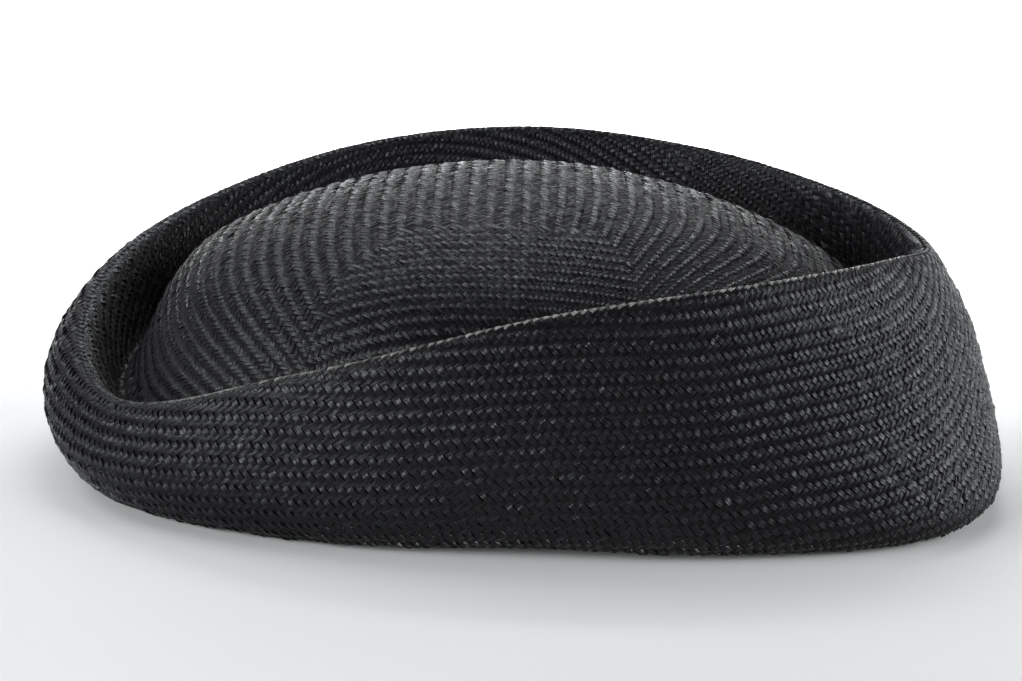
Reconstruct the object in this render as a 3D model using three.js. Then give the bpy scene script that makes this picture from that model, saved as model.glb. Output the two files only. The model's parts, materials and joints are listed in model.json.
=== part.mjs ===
import * as THREE from 'three';

// Sizes in mm: X runs along the hat, Y across it, Z up, and z = 0 is the plane it rests on.
// crownX and crownY place the middle of the crown in the hat's outline.
const wallThick = 1.6;
const crownX = 0.55;
const crownY = -2.55;
const domeTop = 75;
const domeDrop = 30;
const domePower = 2.1;
const headLong = 97;
const headWide = 77;
const headSquare = 2.2;
const turnUnder = 9;
const slotHalf = 0.35;
const stepsAround = 72;
const stepsPerSpan = 2;

// One row every 30 degrees about the middle of the crown, the first one towards +X.
// rimOut, rimHigh: the folded rim.  roll: half the thickness of its fold.
// wallOut, upper: how far the outer wall stands out at mid height, and its extra bulge above.
// bellyOut, bellyHigh: where the wall starts to turn under.  lift: the foot above z = 0.
// valley, moatHigh: width and height of the groove between the dome and the rim.
const sections = [
  { rimOut: 98.0, rimHigh: 59.5, roll: 4.0, wallOut: 115.5, upper: 1.5, bellyOut: 120.0, bellyHigh: 7.5, lift: 0.0, valley: 3.0, moatHigh: 34 },
  { rimOut: 96.5, rimHigh: 64.5, roll: 3.5, wallOut: 119.0, upper: 3.0, bellyOut: 124.5, bellyHigh: 8.0, lift: 0.0, valley: 4.0, moatHigh: 34 },
  { rimOut: 93.5, rimHigh: 71.0, roll: 3.0, wallOut: 105.0, upper: 1.5, bellyOut: 106.0, bellyHigh: 8.0, lift: 0.0, valley: 5.0, moatHigh: 33 },
  { rimOut: 91.5, rimHigh: 74.0, roll: 3.0, wallOut: 98.5, upper: 1.0, bellyOut: 97.0, bellyHigh: 8.0, lift: 0.0, valley: 6.0, moatHigh: 32 },
  { rimOut: 98.5, rimHigh: 68.0, roll: 3.5, wallOut: 107.5, upper: 1.0, bellyOut: 107.0, bellyHigh: 8.0, lift: 0.0, valley: 6.5, moatHigh: 29 },
  { rimOut: 108.5, rimHigh: 53.0, roll: 5.0, wallOut: 119.0, upper: 2.0, bellyOut: 115.5, bellyHigh: 8.0, lift: 0.0, valley: 7.0, moatHigh: 24 },
  { rimOut: 111.0, rimHigh: 37.5, roll: 7.0, wallOut: 120.0, upper: 1.5, bellyOut: 114.0, bellyHigh: 8.0, lift: 0.2, valley: 8.0, moatHigh: 18 },
  { rimOut: 109.0, rimHigh: 25.0, roll: 5.0, wallOut: 117.0, upper: -1.0, bellyOut: 116.0, bellyHigh: 8.0, lift: 0.4, valley: 7.0, moatHigh: 17 },
  { rimOut: 98.5, rimHigh: 39.3, roll: 2.5, wallOut: 102.0, upper: 0.0, bellyOut: 100.0, bellyHigh: 8.0, lift: 0.2, valley: 6.0, moatHigh: 24 },
  { rimOut: 90.5, rimHigh: 54.0, roll: 2.0, wallOut: 93.0, upper: 0.0, bellyOut: 90.5, bellyHigh: 8.0, lift: 1.5, valley: 6.0, moatHigh: 30 },
  { rimOut: 91.5, rimHigh: 60.8, roll: 2.0, wallOut: 97.5, upper: 0.0, bellyOut: 100.0, bellyHigh: 8.0, lift: 0.8, valley: 5.0, moatHigh: 33 },
  { rimOut: 94.5, rimHigh: 62.4, roll: 3.0, wallOut: 109.5, upper: 1.5, bellyOut: 119.5, bellyHigh: 7.0, lift: 0.0, valley: 3.0, moatHigh: 34 },
];

// Smooth value of one column at an angle, passing through every row.
function around(column, angle) {
  const rows = sections.length;
  const place = (angle / (2 * Math.PI)) * rows;
  const first = Math.floor(place);
  const f = place - first;
  const row = (step) => sections[(first + step + 2 * rows) % rows][column];
  const [a, b, c, d] = [row(-1), row(0), row(1), row(2)];
  const bend = (2 * a - 5 * b + 4 * c - d) * f * f + (3 * b - a - 3 * c + d) * f * f * f;
  return 0.5 * (2 * b + (c - a) * f + bend);
}

function headOval(angle) {
  const along = Math.pow(Math.abs(Math.cos(angle) / headLong), headSquare);
  const across = Math.pow(Math.abs(Math.sin(angle) / headWide), headSquare);
  return Math.pow(along + across, -1 / headSquare);
}

// The section's control points, [distance from the middle, height], from the top of the dome
// over the groove, rim and wall to the edge of the head opening.
function outerControls(angle) {
  const s = {};
  for (const column of Object.keys(sections[0])) {
    s[column] = around(column, angle);
  }
  const lift = Math.max(0, s.lift);
  const dome = s.rimOut - s.roll - s.valley;
  const points = [[0, domeTop], [0.1 * dome, domeTop]];
  for (const k of [0.28, 0.52, 0.74, 0.92]) {
    points.push([dome * k, domeTop - domeDrop * Math.pow(k, domePower)]);
  }
  const groove = dome + 0.4 * s.valley;
  points.push([groove, s.moatHigh]);
  points.push([0.5 * (groove + s.rimOut - s.roll), s.moatHigh + 0.3 * (s.rimHigh - s.moatHigh)]);
  points.push([s.rimOut - 0.9 * s.roll, s.rimHigh - 0.75 * s.roll]);
  points.push([s.rimOut, s.rimHigh + 0.35 * s.roll]);
  const wallTop = s.rimHigh - 0.9 * s.roll;
  const wallRun = s.bellyHigh - wallTop;
  points.push([s.rimOut + 0.9 * s.roll, wallTop]);
  points.push([0.5 * (s.rimOut + 0.9 * s.roll + s.wallOut) + s.upper, wallTop + 0.28 * wallRun]);
  points.push([s.wallOut, wallTop + 0.62 * wallRun]);
  points.push([s.bellyOut, s.bellyHigh]);
  const foot = s.bellyOut - turnUnder;
  const head = headOval(angle);
  points.push([0.45 * s.bellyOut + 0.55 * foot, 0.18 * s.bellyHigh + 0.6 * lift]);
  for (const k of [0, 0.35, 0.7, 1]) {
    points.push([foot + (head - foot) * k, lift]);
  }
  return points;
}

// Unit normal of the line between two control points, pointing into the hat.
function legNormal([r0, z0], [r1, z1]) {
  const run = Math.hypot(r1 - r0, z1 - z0);
  return [(z1 - z0) / run, (r0 - r1) / run];
}

// The same section one wall thickness inside; within the rim's fold the two walls nearly touch.
function innerControls(angle) {
  const outer = outerControls(angle);
  const crest = 9;
  const last = outer.length - 1;
  return outer.map(([r, z], i) => {
    if (i <= 1) {
      return [r, z - wallThick];
    }
    if (i === last) {
      return [r, z + wallThick];
    }
    if (i === crest) {
      return [r, z - 2.2 * wallThick];
    }
    if (i === crest - 1 || i === crest + 1) {
      const side = i - crest;
      const half = Math.max(Math.abs(r - outer[crest][0]) - wallThick, slotHalf);
      return [outer[crest][0] + side * half, z - 1.6 * wallThick];
    }
    const before = legNormal(outer[i - 1], outer[i]);
    const after = legNormal(outer[i], outer[i + 1]);
    const nr = before[0] + after[0];
    const nz = before[1] + after[1];
    const mitre = (2 * wallThick) / Math.max(nr * nr + nz * nz, 0.8);
    return [r + nr * mitre, z + nz * mitre];
  });
}

// Points along a clamped uniform cubic B-spline, ends included.
function splinePoints(controls) {
  const spans = controls.length - 3;
  const knot = (i) => Math.min(Math.max(i - 3, 0), spans);
  const weight = (i, degree, u) => {
    if (degree === 0) {
      return knot(i) <= u && u < knot(i + 1) ? 1 : 0;
    }
    const riseRun = knot(i + degree) - knot(i);
    const fallRun = knot(i + degree + 1) - knot(i + 1);
    const rise = riseRun > 0 ? ((u - knot(i)) / riseRun) * weight(i, degree - 1, u) : 0;
    const fall = fallRun > 0 ? ((knot(i + degree + 1) - u) / fallRun) * weight(i + 1, degree - 1, u) : 0;
    return rise + fall;
  };
  const points = [];
  for (let step = 0; step < spans * stepsPerSpan; step += 1) {
    const u = step / stepsPerSpan;
    let r = 0;
    let z = 0;
    controls.forEach(([cr, cz], i) => {
      const w = weight(i, 3, u);
      r += w * cr;
      z += w * cz;
    });
    points.push([r, z]);
  }
  points.push(controls[controls.length - 1]);
  return points;
}

// One skin of the hat: the middle of the dome first, then ring after ring of points.
function skinPoints(controlsAt) {
  const sectionsAround = [];
  for (let j = 0; j < stepsAround; j += 1) {
    const angle = (2 * Math.PI * j) / stepsAround;
    const line = splinePoints(controlsAt(angle));
    const x = Math.cos(angle);
    const y = Math.sin(angle);
    sectionsAround.push(line.map(([r, z]) => [crownX + r * x, crownY + r * y, z]));
  }
  const points = [[crownX, crownY, sectionsAround[0][0][2]]];
  for (let ring = 1; ring < sectionsAround[0].length; ring += 1) {
    for (const line of sectionsAround) {
      points.push(line[ring]);
    }
  }
  return points;
}

// Triangles over one skin, counter-clockwise seen from above the dome.
function skinFaces(rings, start) {
  const at = (ring, j) => start + 1 + (ring - 1) * stepsAround + (j % stepsAround);
  const faces = [];
  for (let j = 0; j < stepsAround; j += 1) {
    faces.push([start, at(1, j), at(1, j + 1)]);
    for (let ring = 1; ring < rings; ring += 1) {
      faces.push([at(ring, j), at(ring + 1, j), at(ring + 1, j + 1)]);
      faces.push([at(ring, j), at(ring + 1, j + 1), at(ring, j + 1)]);
    }
  }
  return faces;
}

function strawBodyGeometry() {
  const outer = skinPoints(outerControls);
  const inner = skinPoints(innerControls);
  const rings = (outer.length - 1) / stepsAround;
  const faces = skinFaces(rings, 0);
  for (const [a, b, c] of skinFaces(rings, outer.length)) {
    faces.push([a, c, b]);
  }
  const outerEdge = outer.length - stepsAround;
  const innerEdge = outer.length + inner.length - stepsAround;
  for (let j = 0; j < stepsAround; j += 1) {
    const next = (j + 1) % stepsAround;
    faces.push([outerEdge + j, innerEdge + j, innerEdge + next]);
    faces.push([outerEdge + j, innerEdge + next, outerEdge + next]);
  }
  const geometry = new THREE.BufferGeometry();
  geometry.setAttribute('position', new THREE.Float32BufferAttribute([...outer, ...inner].flat(), 3));
  geometry.setIndex(faces.flat());
  geometry.computeVertexNormals();
  return geometry;
}

const blackStraw = new THREE.MeshStandardMaterial({ color: '#141416', roughness: 0.55, metalness: 0 });
const strawBody = new THREE.Mesh(strawBodyGeometry(), blackStraw);
strawBody.name = 'straw_body';

const hat = new THREE.Group();
hat.name = 'pillbox_hat';
hat.add(strawBody);

export default hat;
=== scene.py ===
import json
import math

import bmesh
import bpy
import numpy as np
from mathutils import Matrix, Vector

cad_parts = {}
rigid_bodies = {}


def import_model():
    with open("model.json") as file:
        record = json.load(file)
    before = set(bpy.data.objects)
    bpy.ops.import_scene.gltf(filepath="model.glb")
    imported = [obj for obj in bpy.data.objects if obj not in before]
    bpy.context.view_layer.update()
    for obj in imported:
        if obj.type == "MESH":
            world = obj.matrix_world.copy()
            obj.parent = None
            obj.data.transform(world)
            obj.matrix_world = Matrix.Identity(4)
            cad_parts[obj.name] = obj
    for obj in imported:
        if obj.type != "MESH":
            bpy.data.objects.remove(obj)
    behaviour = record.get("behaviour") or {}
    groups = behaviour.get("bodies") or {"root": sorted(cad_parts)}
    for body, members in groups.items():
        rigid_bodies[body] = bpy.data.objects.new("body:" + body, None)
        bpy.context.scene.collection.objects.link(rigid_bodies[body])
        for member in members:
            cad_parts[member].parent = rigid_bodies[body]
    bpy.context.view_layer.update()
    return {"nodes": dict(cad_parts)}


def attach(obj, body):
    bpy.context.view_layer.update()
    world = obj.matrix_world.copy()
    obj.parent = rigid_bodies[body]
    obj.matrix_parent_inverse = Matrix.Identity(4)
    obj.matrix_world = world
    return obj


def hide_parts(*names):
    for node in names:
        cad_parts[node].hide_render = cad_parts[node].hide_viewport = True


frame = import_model()
mm = 0.001

# The hat's surface, in mm, the same as the CAD part's.
surface = {
    "crownX": 0.55,
    "crownY": -2.55,
    "domeTop": 75.0,
    "domeDrop": 30.0,
    "domePower": 2.1,
    "domePlaces": (0.28, 0.52, 0.74, 0.92),  # shares of the way from the tip to the groove
    "headLong": 97.0,  # half of the head opening, along X and along Y
    "headWide": 77.0,
    "headSquare": 2.2,  # 2 for a plain oval, and more for a squarer one
    "turnUnder": 9.0,  # from the widest part of the foot in to its flat strip
    # A row every 30 degrees about the middle of the crown, from +X round through +Y.
    # rimOut, rimHigh: the rim's fold. roll: half its thickness. wallOut, upper: the wall at mid
    # height and its bulge above. bellyOut, bellyHigh: where it turns under. lift: the foot above
    # the floor. valley, moatHigh: the groove's width and height.
    "columns": ("rimOut", "rimHigh", "roll", "wallOut", "upper", "bellyOut", "bellyHigh", "lift",
                "valley", "moatHigh"),
    "rows": (
        (98.0, 59.5, 4.0, 115.5, 1.5, 120.0, 7.5, 0.0, 3.0, 34),
        (96.5, 64.5, 3.5, 119.0, 3.0, 124.5, 8.0, 0.0, 4.0, 34),
        (93.5, 71.0, 3.0, 105.0, 1.5, 106.0, 8.0, 0.0, 5.0, 33),
        (91.5, 74.0, 3.0, 98.5, 1.0, 97.0, 8.0, 0.0, 6.0, 32),
        (98.5, 68.0, 3.5, 107.5, 1.0, 107.0, 8.0, 0.0, 6.5, 29),
        (108.5, 53.0, 5.0, 119.0, 2.0, 115.5, 8.0, 0.0, 7.0, 24),
        (111.0, 37.5, 7.0, 120.0, 1.5, 114.0, 8.0, 0.2, 8.0, 18),
        (109.0, 25.0, 5.0, 117.0, -1.0, 116.0, 8.0, 0.4, 7.0, 17),
        (98.5, 39.3, 2.5, 102.0, 0.0, 100.0, 8.0, 0.2, 6.0, 24),
        (90.5, 54.0, 2.0, 93.0, 0.0, 90.5, 8.0, 1.5, 6.0, 30),
        (91.5, 60.8, 2.0, 97.5, 0.0, 100.0, 8.0, 0.8, 5.0, 33),
        (94.5, 62.4, 3.0, 109.5, 1.5, 119.5, 7.0, 0.0, 3.0, 34),
    ),
    "groovePlace": 5.0,  # where along the section's spline the dome ends and the rim begins
    "edgePlace": 16.0,  # the edge of the head opening, the spline's end
}


def around(values, angles):
    # smooth periodic curve through evenly spaced values
    values = np.asarray(values, float)
    count = len(values)
    place = angles / (2 * np.pi) * count
    first = np.floor(place).astype(int)
    f = place - first
    a, b, c, d = (values[(first + k) % count] for k in (-1, 0, 1, 2))
    bend = (2 * a - 5 * b + 4 * c - d) * f**2 + (3 * b - a - 3 * c + d) * f**3
    return 0.5 * (2 * b + (c - a) * f + bend)


def sectionControls(angles):
    # control points of the section at each angle: an array of point, (out, up), angle
    s = {}
    for place, name in enumerate(surface["columns"]):
        s[name] = around([row[place] for row in surface["rows"]], angles)
    lift = np.maximum(0, s["lift"])
    dome = s["rimOut"] - s["roll"] - s["valley"]
    top, drop = surface["domeTop"], surface["domeDrop"]
    # the crown, level at its tip
    points = [(0 * dome, top + 0 * dome), (0.1 * dome, top + 0 * dome)]
    for k in surface["domePlaces"]:
        points.append((dome * k, top - drop * k ** surface["domePower"] + 0 * dome))
    # the groove, and the cloth's way up out of it and over the rim's fold
    groove = dome + 0.4 * s["valley"]
    points.append((groove, s["moatHigh"]))
    halfWay = 0.5 * (groove + s["rimOut"] - s["roll"])
    points.append((halfWay, s["moatHigh"] + 0.3 * (s["rimHigh"] - s["moatHigh"])))
    points.append((s["rimOut"] - 0.9 * s["roll"], s["rimHigh"] - 0.75 * s["roll"]))
    points.append((s["rimOut"], s["rimHigh"] + 0.35 * s["roll"]))
    # down the outside of the wall to its belly
    wallTop = s["rimHigh"] - 0.9 * s["roll"]
    wallRun = s["bellyHigh"] - wallTop
    points.append((s["rimOut"] + 0.9 * s["roll"], wallTop))
    halfOut = 0.5 * (s["rimOut"] + 0.9 * s["roll"] + s["wallOut"])
    points.append((halfOut + s["upper"], wallTop + 0.28 * wallRun))
    points.append((s["wallOut"], wallTop + 0.62 * wallRun))
    points.append((s["bellyOut"], s["bellyHigh"]))
    # under at the foot, to an oval head opening
    foot = s["bellyOut"] - surface["turnUnder"]
    along = np.abs(np.cos(angles) / surface["headLong"]) ** surface["headSquare"]
    across = np.abs(np.sin(angles) / surface["headWide"]) ** surface["headSquare"]
    head = (along + across) ** (-1 / surface["headSquare"])
    points.append((0.45 * s["bellyOut"] + 0.55 * foot, 0.18 * s["bellyHigh"] + 0.6 * lift))
    for k in (0, 0.35, 0.7, 1):
        points.append((foot + (head - foot) * k, lift))
    return np.array(points)


def splineWeights(count, places):
    # weights of a clamped uniform cubic B-spline's control points at each place along it
    knots = np.clip(np.arange(count + 4) - 3, 0, count - 3).astype(float)
    places = np.minimum(places, count - 3 - 1e-9)[:, None]
    weights = ((knots[:-1] <= places) & (places < knots[1:])).astype(float)
    for degree in (1, 2, 3):
        rise = knots[degree:-1] - knots[: -degree - 1]
        fall = knots[degree + 1 :] - knots[1:-degree]
        up = np.divide(places - knots[: -degree - 1], rise, where=rise > 0,
                       out=np.zeros((len(places), len(rise))))
        down = np.divide(knots[degree + 1 :] - places, fall, where=fall > 0,
                         out=np.zeros((len(places), len(fall))))
        weights = up * weights[:, :-1] + down * weights[:, 1:]
    return weights


# step: mm along the section. past: how far, in control points, a table runs on over the groove
tableGrid = {"columns": 720, "fine": 1200, "step": 0.4, "past": 0.45}


def surfaceTable(fromPlace, toPlace):
    # points and outward normals at even steps along the sections, from one place to another
    columns, step = tableGrid["columns"], tableGrid["step"]
    angles = 2 * np.pi * np.arange(columns) / columns
    controls = sectionControls(angles)
    past = tableGrid["past"] * (1 if toPlace > fromPlace else -1)
    places = np.linspace(fromPlace, toPlace + past, tableGrid["fine"])
    last = int((toPlace - fromPlace) / (toPlace + past - fromPlace) * tableGrid["fine"])
    line = np.einsum("pk,kca->apc", splineWeights(len(controls), places), controls)
    lengths = np.zeros(line.shape[:2])
    lengths[:, 1:] = np.cumsum(np.hypot(*np.moveaxis(np.diff(line, axis=1), 2, 0)), axis=1)
    steps = int(lengths[:, -1].max() / step) + 8
    even = np.arange(steps) * step
    out = np.array([np.interp(even, l, p) for l, p in zip(lengths, line[:, :, 0])])
    up = np.array([np.interp(even, l, p) for l, p in zip(lengths, line[:, :, 1])])
    x = surface["crownX"] + out * np.cos(angles)[:, None]
    y = surface["crownY"] + out * np.sin(angles)[:, None]
    points = np.stack([x, y, up], -1)
    roundWay = np.roll(points, -1, 0) - np.roll(points, 1, 0)
    alongWay = np.gradient(points, axis=1)
    normals = np.cross(alongWay, roundWay) * (1 if toPlace > fromPlace else -1)
    size = np.linalg.norm(normals, axis=2, keepdims=True)
    normals = np.divide(normals, size, where=size > 1e-9, out=np.zeros_like(normals))
    if fromPlace == 0:
        normals[:, 0] = (0, 0, 1)
    # crest: the highest place short of the groove, since the table runs on up its other side
    shortOf = even[None, :] < lengths[:, last][:, None]
    return {"points": points, "normals": normals, "lengths": lengths[:, last],
            "crest": even[np.argmax(np.where(shortOf, up, 0), axis=1)]}


def onSurface(table, angles, along):
    # the table's point and normal at an angle and a distance along the section
    columns = tableGrid["columns"]
    a = angles / (2 * np.pi) * columns
    # kept just inside the table's end
    e = np.clip(along / tableGrid["step"], 0, table["points"].shape[1] - 2.001)
    i, j = np.floor(a).astype(int), np.floor(e).astype(int)
    f, g = (a - i)[..., None], (e - j)[..., None]
    found = []
    for name in ("points", "normals"):
        t = table[name]
        low = t[i % columns, j] * (1 - f) + t[(i + 1) % columns, j] * f
        high = t[i % columns, j + 1] * (1 - f) + t[(i + 1) % columns, j + 1] * f
        found.append(low * (1 - g) + high * g)
    return found


domeTable = surfaceTable(0, surface["groovePlace"])
domeAngles = np.linspace(0, 2 * np.pi, tableGrid["columns"] + 1)
domeEdge = np.append(domeTable["lengths"], domeTable["lengths"][0])
wallTable = surfaceTable(surface["edgePlace"], surface["groovePlace"])
print("surface worked out")

# The straw cloth is a twill: each strand passes over two others and under two. The strands that
# fall to the right are wide and arch well up. Those that rise to the right run nearly straight.
weave = {
    "floatStep": 2.12,  # mm from one float to the next along a row
    "rowStep": 1.6,  # mm from row to row
    "cover": 1.04,  # a strand's width as a share of the room between its neighbours
    "arched": 0.5,  # mm that an arched float stands out
    "straight": 0.25,
    "dive": 0.5,  # mm that its ends run on under the next strands
    # how uneven the floats are: degrees of turn and of lean, and shares of their sizes
    "turn": 3.0,
    "lean": 6.0,
    "unevenLong": 0.044,
    "unevenWide": 0.088,
    "unevenThick": 0.22,
    "sunk": 0.1,  # mm that a float's edges lie below the cloth's face
    "pressed": 0.2,  # mm that the lowest floats may reach below the foot
    "archedTone": 0.65,  # how pale and glossy the arched strands are: 0 is dull, 1 is silky; the paler colour is a painted sheen
    "toneSpread": 0.35,  # how much that differs from strand to strand
    "fibreShift": 40,  # mm along the fibre pattern for each 1 of tone, so no two strands match
    "uvScale": 0.05,  # of the map that only gives a strand's direction
    "seed": 7,
}
rng = np.random.default_rng(weave["seed"])

# a float's grid of points: places along it with the height at each, and places across it
floatAlong = np.array([-1.0, -0.6, 0.0, 0.6, 1.0])
floatRise = np.array([-0.25, 0.72, 1.0, 0.72, -0.25])
floatAcross = np.array([-1.0, -0.8, 0.8, 1.0])
rowsLong, rowsWide = len(floatAlong), len(floatAcross)
pointsEach = rowsLong * rowsWide
onTop = (floatRise[:, None] > 0) & (np.abs(floatAcross)[None, :] < 1)


def floatGrid(half, width, turn):
    # each float's points, as mm along and across it, with the cosine and sine of its turn
    a = floatAlong[None, :, None] * half[:, None, None]
    w = width[:, None, None] * floatAcross[None, None, :] * np.ones((1, rowsLong, 1))
    c, s = np.cos(turn)[:, None, None], np.sin(turn)[:, None, None]
    return a, w, c, s


def ownPlace(a, w, tone):
    # a point's place on its own strand, which its material reads, with the strand's tone
    tone = tone[:, None, None]
    return np.stack([a + 0 * w + tone * weave["fibreShift"], w + 0 * a, tone + 0 * a + 0 * w], -1)


def floatPoints(centreU, centreV, stepU, run, lift=1.0):
    # Cloth coordinates and heights of every float's points, and their places on its own strand.
    # A strand goes stepU along its row from one crossing to the next, and half a row across it.
    count = len(centreU)
    rise = 0.5 * weave["rowStep"]
    crossing = np.hypot(stepU, rise)
    turn = np.arctan2(rise, stepU) + np.radians(rng.normal(0, weave["turn"], count))
    turn = np.where(stepU < 0, turn - np.pi, turn)
    half = 0.5 * run * crossing + weave["dive"]
    half = half * (1 + rng.normal(0, weave["unevenLong"], count))
    room = weave["floatStep"] * rise / crossing
    width = 0.5 * weave["cover"] * room * (1 + rng.normal(0, weave["unevenWide"], count))
    thick = np.where(stepU < 0, weave["arched"], weave["straight"])
    thick = lift * thick * (1 + rng.normal(0, weave["unevenThick"], count))
    lean = np.radians(rng.normal(0, weave["lean"], count))[:, None, None]
    a, w, c, s = floatGrid(half, width, turn)
    u = centreU[:, None, None] + a * c - w * s
    v = centreV[:, None, None] + a * s + w * c
    arch = thick[:, None, None] * floatRise[None, :, None] + lean * w
    h = np.where(onTop[None], arch, -weave["sunk"])
    # each strand's tone: a random part, which is the dye's own, and a step up on the arched
    # strands, whose paler colour is a painted sheen
    tone = weave["toneSpread"] * rng.random(count) + np.where(stepU < 0, weave["archedTone"], 0)
    return u, v, h, ownPlace(a, w, tone)


def strandMesh(name, points, own):
    # one mesh of many floats, with sharp edges beside each one's top
    count = len(points)
    corner = np.arange(rowsLong - 1)[:, None] * rowsWide + np.arange(rowsWide - 1)[None, :]
    quad = np.stack([corner, corner + rowsWide, corner + rowsWide + 1, corner + 1], -1)
    quad = quad.reshape(-1, 4)
    faces = (quad[None] + pointsEach * np.arange(count)[:, None, None]).reshape(-1, 4)
    mesh = bpy.data.meshes.new(name)
    mesh.vertices.add(count * pointsEach)
    mesh.vertices.foreach_set("co", (points.reshape(-1, 3) * mm).astype(np.float32).ravel())
    mesh.loops.add(faces.size)
    mesh.loops.foreach_set("vertex_index", faces.ravel().astype(np.int32))
    mesh.polygons.add(len(faces))
    mesh.polygons.foreach_set("loop_start", np.arange(0, faces.size, 4, dtype=np.int32))
    mesh.update(calc_edges=True)
    mesh.shade_smooth()
    ends = np.empty(len(mesh.edges) * 2, np.int32)
    mesh.edges.foreach_get("vertices", ends)
    ends = np.sort(ends.reshape(-1, 2) % pointsEach, axis=1)
    lengthwise = ends[:, 1] - ends[:, 0] == rowsWide
    shoulder = lengthwise & np.isin(ends[:, 0] % rowsWide, (1, 2))
    sharp = mesh.attributes.new("sharp_edge", "BOOLEAN", "EDGE")
    sharp.data.foreach_set("value", shoulder)
    # the UV map's second axis runs along the strand
    way = mesh.uv_layers.new(name="strandWay")
    turned = own.reshape(-1, 3)[faces.ravel()][:, [1, 0]] * weave["uvScale"]
    way.data.foreach_set("uv", turned.astype(np.float32).ravel())
    strand = mesh.attributes.new("strand", "FLOAT_VECTOR", "POINT")
    strand.data.foreach_set("vector", own.reshape(-1, 3).astype(np.float32).ravel())
    piece = bpy.data.objects.new(name, mesh)
    bpy.context.scene.collection.objects.link(piece)
    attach(piece, "root")
    print(name, count, "floats")


def placeFloats(table, angles, along, heights):
    # the lowest floats are pressed flat against what the hat rests on
    points, normals = onSurface(table, angles, along)
    points = points + normals * heights[..., None]
    points[..., 2] = np.maximum(points[..., 2], -weave["pressed"])
    return points


dome = {
    # mm from the tip towards the near side where the ribs start to lean in, and how much they do
    # per square mm, on the left and on the right
    "leanStart": (-40.0, -25.0),
    "lean": (1.2e-4, 3.5e-4),
    "frontStart": -46.0,  # mm from the tip, where the ribs turn crosswise
    "frontMiddle": -5.0,
    "frontHalf": 25.0,
    "lift": 0.6,  # the crown's cloth was pulled tighter over the block, so its floats lie lower
    "trim": 0.6,  # mm from the last floats' middles to the groove
    "halves": -15.0,  # mm from the tip, where the front piece ends and the back one starts
    "reach": 110,  # crossings of the strands, each way from the tip
    "longest": 5,  # crossings that one float may pass over
}


def domeSurface(u, v):
    # angle and distance from the tip, from cloth coordinates, with the ribs leaning in
    side = (u > 0).astype(int)
    start, lean = np.array(dome["leanStart"])[side], np.array(dome["lean"])[side]
    u = u / (1 + lean * np.minimum(v - start, 0) ** 2)
    return np.arctan2(v, u), np.hypot(u, v)


def domeFloats():
    # every crossing of the two sets of strands, then the runs where a strand stays on top
    stepU, stepV = weave["floatStep"] / 2, weave["rowStep"] / 2
    reach = np.arange(-dome["reach"], dome["reach"])
    i, j = np.meshgrid(reach, reach, indexing="ij")
    u, v = (i + j) * stepU, (j - i) * stepV
    beside = np.maximum(np.abs(u - dome["frontMiddle"]) - dome["frontHalf"], 0)
    front = v < dome["frontStart"] - beside
    firstOver = np.where(front, (i - j) % 4 < 2, (i + j) % 4 < 2)
    centres = []
    for over, axis, sign in ((firstOver, 1, 1), (~firstOver, 0, -1)):
        grid = over if axis == 1 else over.T
        gu, gv = (u, v) if axis == 1 else (u.T, v.T)
        padded = np.pad(grid, ((0, 0), (1, 1))).astype(int)
        row, start = np.nonzero(np.diff(padded, axis=1) == 1)
        end = np.nonzero(np.diff(padded, axis=1) == -1)[1] - 1
        run = end - start + 1
        centres.append(np.stack([0.5 * (gu[row, start] + gu[row, end]),
                                 0.5 * (gv[row, start] + gv[row, end]),
                                 sign * np.ones(len(row)), run], -1))
    return np.concatenate(centres)


def makeDome():
    u, v, sign, run = domeFloats().T
    angle, out = domeSurface(u, v)
    limit = np.interp(angle % (2 * np.pi), domeAngles, domeEdge)
    keep = (out < limit - dome["trim"]) & (run <= dome["longest"])
    u, v, sign, run = (x[keep] for x in (u, v, sign, run))
    pu, pv, h, own = floatPoints(u, v, sign * 0.5 * weave["floatStep"], run, dome["lift"])
    angle, out = domeSurface(pu, pv)
    points = placeFloats(domeTable, angle, out, h)
    front = v < dome["halves"]
    strandMesh("weave_dome_front", points[front], own[front])
    strandMesh("weave_dome_back", points[~front], own[~front])


wall = {
    "skew": 0.3,  # the strands that rise to the right lie this much flatter than the others
    # mm that the rows climb at each 30 degrees round the hat
    "climb": (47, 52, 31, 8, 0, 0, 0, 0, 0, 0, 7.5, 27),
    "pivot": 40.0,  # mm above the head opening's edge, where slanted rows keep their spacing
    "rowsFrom": -60.0,  # mm above the same edge, well below where the lowest slanted row starts
    "rounds": 12,  # of Newton's method
    "leastSlope": 0.3,  # that it divides by
    "trim": 0.8,  # mm from the head opening's edge to the first floats' middles
    "grooveTrim": 1.0,  # and from the last ones' to the groove
    # the rim's fold, where the cloth is pressed flat: mm either side, share of the height left
    "foldWide": 2.6,
    "foldFlat": 0.15,
    "insideFrom": 14.0,  # mm past the middle of the cloth, where the wall's hidden side begins
    "insideLift": 0.6,  # share of a float's height that is left there
}


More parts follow.
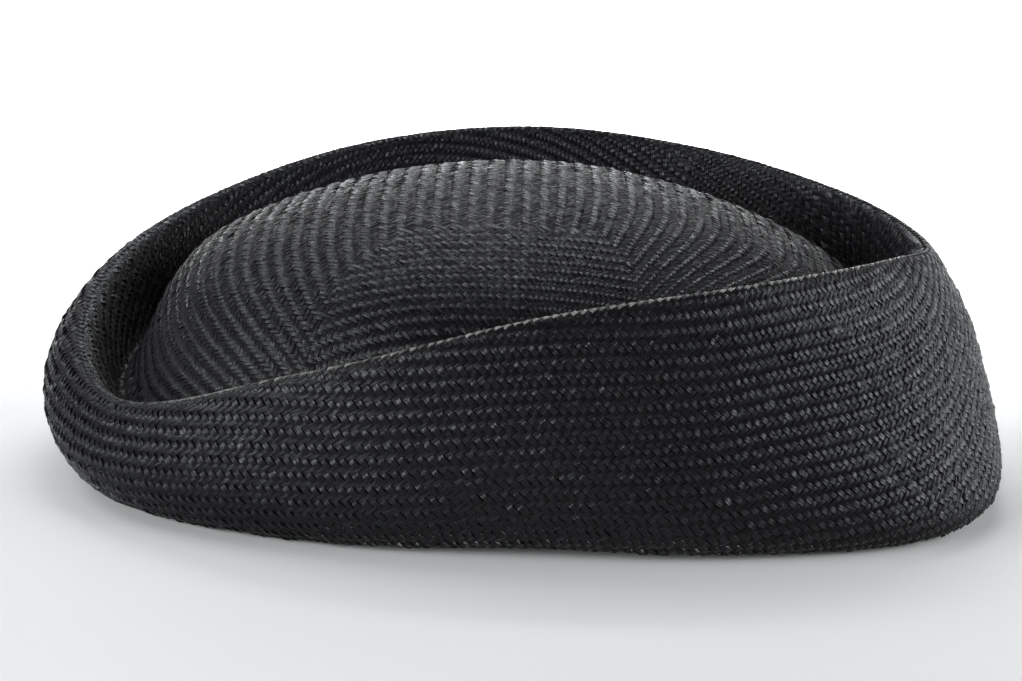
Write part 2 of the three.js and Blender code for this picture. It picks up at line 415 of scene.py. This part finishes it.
def makeWall():
    columns = tableGrid["columns"]
    angles = 2 * np.pi * np.arange(columns + 1) / columns
    middle = wallTable["points"][:, int(wall["pivot"] / tableGrid["step"])]
    ways = np.linalg.norm(np.roll(middle, -1, 0) - middle, axis=1)
    roundWay = np.append(0, np.cumsum(ways))
    total = roundWay[-1]
    count = round(total / weave["floatStep"])
    step = total / count
    grid = np.linspace(0, total, 4 * columns + 1)
    climb = around(wall["climb"], np.interp(grid, roundWay, angles))
    slope = np.gradient(climb, grid)

    def solve(u, v):
        # distance round and along from cloth coordinates, by Newton's method
        x = u.copy()
        for again in range(wall["rounds"]):
            wrapped = x % total
            c = np.interp(wrapped, grid, climb)
            s = np.interp(wrapped, grid, slope)
            ahead = np.interp((x + 1) % total, grid, slope)
            error = x + s * (v + c - wall["pivot"]) - u
            rate = 1 + (ahead - s) * (v + c - wall["pivot"]) + s * s
            x = x - error / np.maximum(rate, wall["leastSlope"])
        return x, v + np.interp(x % total, grid, climb)

    longest = wallTable["lengths"].max()
    firstRow = int(wall["rowsFrom"] / weave["rowStep"])
    rows = np.arange(firstRow, int(longest / weave["rowStep"]) + 2)
    row, k = np.meshgrid(rows, np.arange(count), indexing="ij")
    row, k = row.ravel(), k.ravel()
    u = (k + 0.5 * (row % 2) + wall["skew"] * row) * step
    v = (row + 0.5) * weave["rowStep"]
    stepU = 0.5 * step * np.where(row % 2 == 0, wall["skew"] - 1, wall["skew"] + 1)
    x, along = solve(u, v)
    angle = np.interp(x % total, roundWay, angles)
    limit = np.interp(angle, angles, np.append(wallTable["lengths"], wallTable["lengths"][0]))
    keep = (along > wall["trim"]) & (along < limit - wall["grooveTrim"])
    u, v, stepU, angle, along = (a[keep] for a in (u, v, stepU, angle, along))
    inside = along > 0.5 * limit[keep] + wall["insideFrom"]
    # every float of the twill passes over two strands
    pu, pv, h, own = floatPoints(u, v, stepU, 2, np.where(inside, wall["insideLift"], 1))
    px, pe = solve(pu, pv)
    crest = np.interp(angle, angles, np.append(wallTable["crest"], wallTable["crest"][0]))
    fromFold = np.abs(pe - crest[:, None, None]) / wall["foldWide"]
    h = h * np.minimum(wall["foldFlat"] + (1 - wall["foldFlat"]) * fromFold, 1)
    points = placeFloats(wallTable, np.interp(px % total, roundWay, angles), pe, h)
    near = (angle > np.pi) & ~inside
    far = ~near & ~inside
    left = (angle > np.pi / 2) & (angle < 3 * np.pi / 2)
    groups = {
        "weave_wall_near_left": near & left,
        "weave_wall_near_right": near & ~left,
        "weave_wall_far_left": far & left,
        "weave_wall_far_right": far & ~left,
        "weave_wall_inside": inside,
    }
    for name, chosen in groups.items():
        strandMesh(name, points[chosen], own[chosen])


fold = {
    "step": 2.12,  # mm from one strand to the next along the fold
    "long": 2.9,  # mm, each strand
    "slant": 28.0,  # degrees from the fold's own line
    "thick": 0.22,  # mm
    "lift": 0.12,
    "cover": 0.96,  # a strand's width as a share of the room between its neighbours
    "uneven": 0.1,
    "tone": (0.4, 0.2),  # tone of the strands, and how much it differs
    "highlightTone": (0.7, 0.6),  # what is added to both along the painted highlight on the near part of the fold's crest
    "highlightMiddle": 276.0,  # degrees round the hat, the middle of that stretch
    "highlightHalf": 68.0,
    "highlightFade": 24.0,
}


def makeFold():
    # strands bent over the rim's fold, one after another along it
    angles = 2 * np.pi * np.arange(tableGrid["columns"] + 1) / tableGrid["columns"]
    crest = np.append(wallTable["crest"], wallTable["crest"][0])
    line = onSurface(wallTable, angles, crest)[0]
    way = np.append(0, np.cumsum(np.linalg.norm(np.diff(line, axis=0), axis=1)))
    count = round(way[-1] / fold["step"])
    u = (np.arange(count) + 0.5) * way[-1] / count
    turn = np.radians(fold["slant"] + rng.normal(0, weave["turn"], count))
    half = 0.5 * fold["long"] * (1 + rng.normal(0, fold["uneven"], count))
    room = fold["step"] * math.sin(math.radians(fold["slant"]))
    width = 0.5 * fold["cover"] * room * np.ones(count)
    a, w, c, s = floatGrid(half, width, turn)
    roundWay = u[:, None, None] + a * c - w * s
    angle = np.interp(roundWay % way[-1], way, angles)
    along = np.interp(angle, angles, crest) + a * s + w * c
    arch = fold["lift"] + fold["thick"] * floatRise[:, None]
    h = np.where(onTop[None], arch, -weave["sunk"])
    h = h * (1 + rng.normal(0, fold["uneven"], count))[:, None, None]
    # painted highlight: the strands on the near part of the fold get a paler colour, which stands
    # for the light caught on the fold's crest
    fromNear = np.abs(np.degrees(np.interp(u, way, angles)) - fold["highlightMiddle"])
    paintedHighlight = np.clip((fold["highlightHalf"] - fromNear) / fold["highlightFade"], 0, 1)
    tone = fold["tone"][0] + fold["highlightTone"][0] * paintedHighlight
    spread = fold["tone"][1] + fold["highlightTone"][1] * paintedHighlight
    tone = tone + rng.random(count) * spread
    points = placeFloats(wallTable, angle, along, h)
    strandMesh("weave_fold", points, ownPlace(a, w, tone))


makeDome()
makeWall()
makeFold()


def linear(hexColour):
    # sRGB hex to the linear colour that a socket wants
    parts = [int(hexColour[k : k + 2], 16) / 255 for k in (1, 3, 5)]
    return [p / 12.92 if p <= 0.04045 else ((p + 0.055) / 1.055) ** 2.4 for p in parts] + [1]


def addNode(tree, kind, settings=None, **inputs):
    node = tree.nodes.new(kind)
    for name, value in (settings or {}).items():
        setattr(node, name, value)
    for name, value in inputs.items():
        # an input is named, with _ for a space, or numbered after a _
        socket = node.inputs[int(name[1:]) if name[0] == "_" else name.replace("_", " ")]
        if isinstance(value, bpy.types.NodeSocket):
            tree.links.new(value, socket)
        else:
            socket.default_value = value
    return node


# Black dyed sisal: flat vegetable-fibre strands, woven and lightly stiffened. The eye sees
# near-black strands with a grey, silky glint along their fibres.
strawFinish = {
    # the strands' colour runs from dark to light with their tone: at random from strand to strand,
    # and paler on the arched strands as a painted sheen
    "dark": "#050506",
    "light": "#0e0e10",
    "foldHighlight": "#70706c",  # painted highlight: the pale line along the near part of the rim's fold, where its crest catches the light
    "roughness": 0.27,
    # mm, a bundle of fibres within a strand, since single fibres are too fine to show
    "fibreWide": 0.3,
    "fibreLong": 1.5,
    "fibreDeep": 0.16,
    "fibreDetail": 2.0,  # octaves of their noise
    "strandsApart": 30,  # steps of the fibres' noise for each 1 of tone
    # what is added to the roughness: over the middle of the fibres' noise, and from the straight
    # strands to the arched ones
    "noiseMiddle": (0.4, 0.6),
    "streakRough": (-0.14, 0.36),
    "dullRough": (0.24, -0.06),
    "silky": 0.7,  # how far the glint is drawn out across the fibres
    "ior": 1.5,
    "specular": 0.16,
}


def blackSisal():
    material = bpy.data.materials.new("blackSisal")
    material.use_nodes = True
    tree = material.node_tree
    tree.nodes.clear()
    strand = addNode(tree, "ShaderNodeAttribute", {"attribute_name": "strand"})
    own = addNode(tree, "ShaderNodeSeparateXYZ", Vector=strand.outputs["Vector"])
    tone = own.outputs[2]
    stretched = addNode(tree, "ShaderNodeMapping", Vector=strand.outputs["Vector"],
                        Scale=(1 / strawFinish["fibreLong"], 1 / strawFinish["fibreWide"],
                               strawFinish["strandsApart"]))
    fibres = addNode(tree, "ShaderNodeTexNoise", Vector=stretched.outputs[0], Scale=1.0,
                     Detail=strawFinish["fibreDetail"])
    # colour by tone: the random tone is the dye's own, and the arched strands' paler colour is a
    # painted sheen
    dyeAndSheen = addNode(tree, "ShaderNodeMix", {"data_type": "RGBA"}, _0=tone,
                  _6=linear(strawFinish["dark"]), _7=linear(strawFinish["light"]))
    # a tone past 1 is a fold strand with a painted highlight, its colour mixed towards a pale grey
    highlightShare = addNode(tree, "ShaderNodeMath", {"operation": "SUBTRACT"}, _0=tone, _1=1.0)
    paintedHighlight = addNode(tree, "ShaderNodeMix", {"data_type": "RGBA"}, _0=highlightShare.outputs[0],
                   _6=dyeAndSheen.outputs[2], _7=linear(strawFinish["foldHighlight"]))
    # streaks along the fibres, and the straight strands are duller than the arched ones
    low, high = strawFinish["noiseMiddle"]
    smooth, coarse = strawFinish["streakRough"]
    streaks = addNode(tree, "ShaderNodeMapRange", Value=fibres.outputs[0], From_Min=low,
                      From_Max=high, To_Min=smooth, To_Max=coarse)
    straight, arched = strawFinish["dullRough"]
    dull = addNode(tree, "ShaderNodeMapRange", Value=tone, To_Min=straight, To_Max=arched)
    rough = addNode(tree, "ShaderNodeMath", {"operation": "ADD"}, _0=streaks.outputs[0],
                    _1=dull.outputs[0])
    rough = addNode(tree, "ShaderNodeMath", {"operation": "ADD"}, _0=rough.outputs[0],
                    _1=strawFinish["roughness"])
    bump = addNode(tree, "ShaderNodeBump", Height=fibres.outputs[0], Strength=1.0,
                   Distance=strawFinish["fibreDeep"] * mm)
    way = addNode(tree, "ShaderNodeTangent", {"direction_type": "UV_MAP", "uv_map": "strandWay"})
    shader = addNode(tree, "ShaderNodeBsdfPrincipled", Base_Color=paintedHighlight.outputs[2],
                     Roughness=rough.outputs[0], IOR=strawFinish["ior"],
                     Specular_IOR_Level=strawFinish["specular"], Normal=bump.outputs[0],
                     Anisotropic=strawFinish["silky"], Tangent=way.outputs[0])
    addNode(tree, "ShaderNodeOutputMaterial", Surface=shader.outputs[0])
    return material


# The hat's inside and its cloth's core: the same weave seen from the back, pressed flat and dull
# by the stiffening. The eye sees rows of slanted ridges, with painted shade in the gaps between
# them, and hardly a glint.
coreFinish = {
    # painted shade: the colour in the gaps between the ridges
    "gapShade": "#050506",
    "ridge": "#18181b",
    "roughness": (0.85, 0.6),  # in the gaps and on the ridges
    "slant": 0.75,  # share of a float's step that a ridge leans over a row
    "deep": 0.35,  # mm
    "stepsRound": 320,  # ridges round the hat, a float's step apart where it is widest
    "crownFrom": 15.0,  # mm up, above which the middle of the hat is its crown
    "sharper": 50.0,  # degrees, past which an edge stays sharp
    "weld": 0.001,  # mm, within which two corners are one
    "ior": 1.5,
    "specular": 0.16,
}


def stiffenedStraw():
    material = bpy.data.materials.new("stiffenedStraw")
    material.use_nodes = True
    tree = material.node_tree
    tree.nodes.clear()
    cloth = addNode(tree, "ShaderNodeUVMap", {"uv_map": "cloth"})
    split = addNode(tree, "ShaderNodeSeparateXYZ", Vector=cloth.outputs[0])
    # rows of ridges that lean one way and the other by turns
    row = addNode(tree, "ShaderNodeMath", {"operation": "FLOOR"}, _0=split.outputs[1])
    odd = addNode(tree, "ShaderNodeMath", {"operation": "FLOORED_MODULO"}, _0=row.outputs[0],
                  _1=2.0)
    side = addNode(tree, "ShaderNodeMath", {"operation": "MULTIPLY_ADD"}, _0=odd.outputs[0],
                   _1=2.0, _2=-1.0)
    within = addNode(tree, "ShaderNodeMath", {"operation": "FRACT"}, _0=split.outputs[1])
    across = addNode(tree, "ShaderNodeMath", {"operation": "SUBTRACT"}, _0=within.outputs[0],
                     _1=0.5)
    turned = addNode(tree, "ShaderNodeMath", {"operation": "MULTIPLY"}, _0=across.outputs[0],
                     _1=side.outputs[0])
    lean = addNode(tree, "ShaderNodeMath", {"operation": "MULTIPLY"}, _0=turned.outputs[0],
                   _1=coreFinish["slant"])
    leaning = addNode(tree, "ShaderNodeMath", {"operation": "ADD"}, _0=split.outputs[0],
                      _1=lean.outputs[0])
    # every other row is half a ridge along
    ridges = addNode(tree, "ShaderNodeMath", {"operation": "MULTIPLY_ADD"}, _0=odd.outputs[0],
                     _1=0.5, _2=leaning.outputs[0])
    phase = addNode(tree, "ShaderNodeMath", {"operation": "MULTIPLY"}, _0=ridges.outputs[0],
                    _1=math.pi)
    wave = addNode(tree, "ShaderNodeMath", {"operation": "SINE"}, _0=phase.outputs[0])
    high = addNode(tree, "ShaderNodeMath", {"operation": "ABSOLUTE"}, _0=wave.outputs[0])
    ridge = high.outputs[0]
    # painted shade: the colour darkens from the ridges' tops down into the gaps
    colour = addNode(tree, "ShaderNodeMix", {"data_type": "RGBA"}, _0=ridge,
                     _6=linear(coreFinish["gapShade"]), _7=linear(coreFinish["ridge"]))
    gapRough, ridgeRough = coreFinish["roughness"]
    rough = addNode(tree, "ShaderNodeMapRange", Value=ridge, To_Min=gapRough, To_Max=ridgeRough)
    bump = addNode(tree, "ShaderNodeBump", Height=ridge, Strength=1.0,
                   Distance=coreFinish["deep"] * mm)
    shader = addNode(tree, "ShaderNodeBsdfPrincipled", Base_Color=colour.outputs[2],
                     Roughness=rough.outputs[0], IOR=coreFinish["ior"],
                     Specular_IOR_Level=coreFinish["specular"], Normal=bump.outputs[0])
    addNode(tree, "ShaderNodeOutputMaterial", Surface=shader.outputs[0])
    return material


def makeCore():
    # a merged, smooth copy of the CAD shell, with cloth coordinates in floats and rows: flat ones
    # over the crown, and round the hat and along the section elsewhere
    middle = Vector((surface["crownX"], surface["crownY"], 0))
    groove = onSurface(domeTable, domeAngles, domeEdge)[0]
    grooveOut = np.hypot(groove[:, 0] - middle.x, groove[:, 1] - middle.y)
    bm = bmesh.new()
    bm.from_mesh(frame["nodes"]["straw_body"].data)
    bmesh.ops.remove_doubles(bm, verts=bm.verts, dist=coreFinish["weld"] * mm)
    cloth = bm.loops.layers.uv.new("cloth")
    for face in bm.faces:
        spots = [loop.vert.co / mm - middle for loop in face.loops]
        angles = [math.atan2(spot.y, spot.x) for spot in spots]
        outs = [math.hypot(spot.x, spot.y) for spot in spots]
        angle = angles[0] % (2 * math.pi)
        withinGroove = max(outs) < np.interp(angle, domeAngles, grooveOut) + 1
        flat = withinGroove and spots[0].z > coreFinish["crownFrom"]
        for loop, spot, out, angle in zip(face.loops, spots, outs, angles):
            if flat:
                loop[cloth].uv = (spot.y / weave["floatStep"], spot.x / weave["rowStep"])
                continue
            if angle < max(angles) - math.pi:
                angle += 2 * math.pi
            loop[cloth].uv = (angle / (2 * math.pi) * coreFinish["stepsRound"],
                              (out + spot.z) / weave["rowStep"])
    sharper = math.radians(coreFinish["sharper"])
    for edge in bm.edges:
        edge.smooth = not (edge.is_manifold and edge.calc_face_angle() > sharper)
    mesh = bpy.data.meshes.new("straw_core")
    bm.to_mesh(mesh)
    bm.free()
    mesh.shade_smooth()
    core = bpy.data.objects.new("straw_core", mesh)
    bpy.context.scene.collection.objects.link(core)
    core.data.materials.append(stiffenedStraw())
    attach(core, "root")
    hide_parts("straw_body")
    print("straw_core", len(mesh.polygons), "triangles")


sisal = blackSisal()
for piece in bpy.data.objects:
    if piece.name.startswith("weave_"):
        piece.data.materials.append(sisal)

makeCore()
print("materials made")

studio = {
    "cameraAway": 565.0,  # mm from the point it looks at
    "cameraHigh": 12.0,  # degrees
    "cameraRoll": 2.1,
    "lookAt": (-3.6, -2.55, 30.2),  # mm
    "lens": 78.9,  # mm, on a sensor this wide
    "sensor": 36,
    "clip": (0.01, 50),  # m
    "floor": "#c0c0be",
    "floorRough": 0.9,
    "floorReach": 3.0,  # m
    "floorBehind": 1.2,  # m, where its back wall stands
    "floorBend": 0.5,  # m, the bend's radius
    "bendSteps": 12,
    "wallHigh": 2.4,  # m
    "floorGap": 0.4,  # mm, so the pressed floats don't reach into it
    "surroundings": "#ffffff",
    "ambient": 0.015,
    "light": "#f8fbff",
    "lights": (
        # name, place and where it points, width and height, all in m, power in W, spread in degrees
        ("backBox", (0, 1.0, 0.8), (0, 0, 0), (1.0, 1.0), 3, 180),
        ("backWash", (0, 0.95, 1.0), (0, 0.95, 0), (0.9, 0.9), 31, 80),
        ("highLeft", (-0.7, 0.25, 0.85), (0, 0, 0.05), (0.6, 0.6), 6, 180),
        ("leftBox", (-0.69, -0.58, 0.25), (0, 0, 0.1), (0.8, 0.45), 16, 180),
        ("rightBox", (0.88, -0.24, 0.25), (0, 0, 0.1), (0.8, 0.45), 13, 180),
        ("rightEdge", (0.95, 0.4, 0.35), (0, 0, 0.05), (0.5, 0.5), 4.5, 180),
    ),
}


def makeStudio():
    scene = bpy.context.scene
    # the floor, bent up into a back wall
    bm = bmesh.new()
    reach, behind = studio["floorReach"], studio["floorBehind"]
    bottom = -studio["floorGap"] * mm
    spots = ((-reach, bottom), (behind, bottom), (behind, bottom + studio["wallHigh"]))
    line = [bm.verts.new((-reach, y, z)) for y, z in spots]
    edges = [bm.edges.new(ends) for ends in zip(line, line[1:])]
    made = bmesh.ops.extrude_edge_only(bm, edges=edges)["geom"]
    across = [part for part in made if isinstance(part, bmesh.types.BMVert)]
    bmesh.ops.translate(bm, verts=across, vec=(2 * reach, 0, 0))
    inner = [edge for edge in bm.edges if len(edge.link_faces) == 2]
    bmesh.ops.bevel(bm, geom=inner, offset=studio["floorBend"], segments=studio["bendSteps"],
                    profile=0.5, affect="EDGES", material=-1)
    mesh = bpy.data.meshes.new("floor")
    bm.to_mesh(mesh)
    bm.free()
    mesh.shade_smooth()
    floor = bpy.data.objects.new("floor", mesh)
    scene.collection.objects.link(floor)
    # matt seamless paper: an even pale grey, with no glint
    paper = bpy.data.materials.new("mattPaper")
    paper.use_nodes = True
    shader = paper.node_tree.nodes["Principled BSDF"]
    shader.inputs["Base Color"].default_value = linear(studio["floor"])
    shader.inputs["Roughness"].default_value = studio["floorRough"]
    mesh.materials.append(paper)

    world = bpy.data.worlds.new("studio")
    scene.world = world
    world.use_nodes = True
    background = world.node_tree.nodes["Background"]
    background.inputs[0].default_value = linear(studio["surroundings"])
    background.inputs[1].default_value = studio["ambient"]

    for name, spot, aim, size, power, spread in studio["lights"]:
        data = bpy.data.lights.new(name, "AREA")
        data.shape = "RECTANGLE"
        data.size, data.size_y = size
        data.energy = power
        data.color = linear(studio["light"])[:3]
        data.spread = math.radians(spread)
        light = bpy.data.objects.new(name, data)
        light.location = spot
        scene.collection.objects.link(light)
        light.rotation_euler = (Vector(aim) - Vector(spot)).to_track_quat("-Z", "Y").to_euler()

    camera = bpy.data.cameras.new("camera")
    camera.lens = studio["lens"]
    camera.sensor_width = studio["sensor"]
    camera.clip_start, camera.clip_end = studio["clip"]
    eye = bpy.data.objects.new("camera", camera)
    scene.collection.objects.link(eye)
    e = math.radians(studio["cameraHigh"])
    target = Vector(studio["lookAt"]) * mm
    back = Vector((0, -math.cos(e), math.sin(e)))
    roll = Matrix.Rotation(math.radians(studio["cameraRoll"]), 3, "Z").to_quaternion()
    eye.location = target + back * studio["cameraAway"] * mm
    eye.rotation_mode = "QUATERNION"
    eye.rotation_quaternion = back.to_track_quat("Z", "Y") @ roll
    scene.camera = eye
    scene.view_settings.view_transform = "Standard"


makeStudio()
print("studio made")
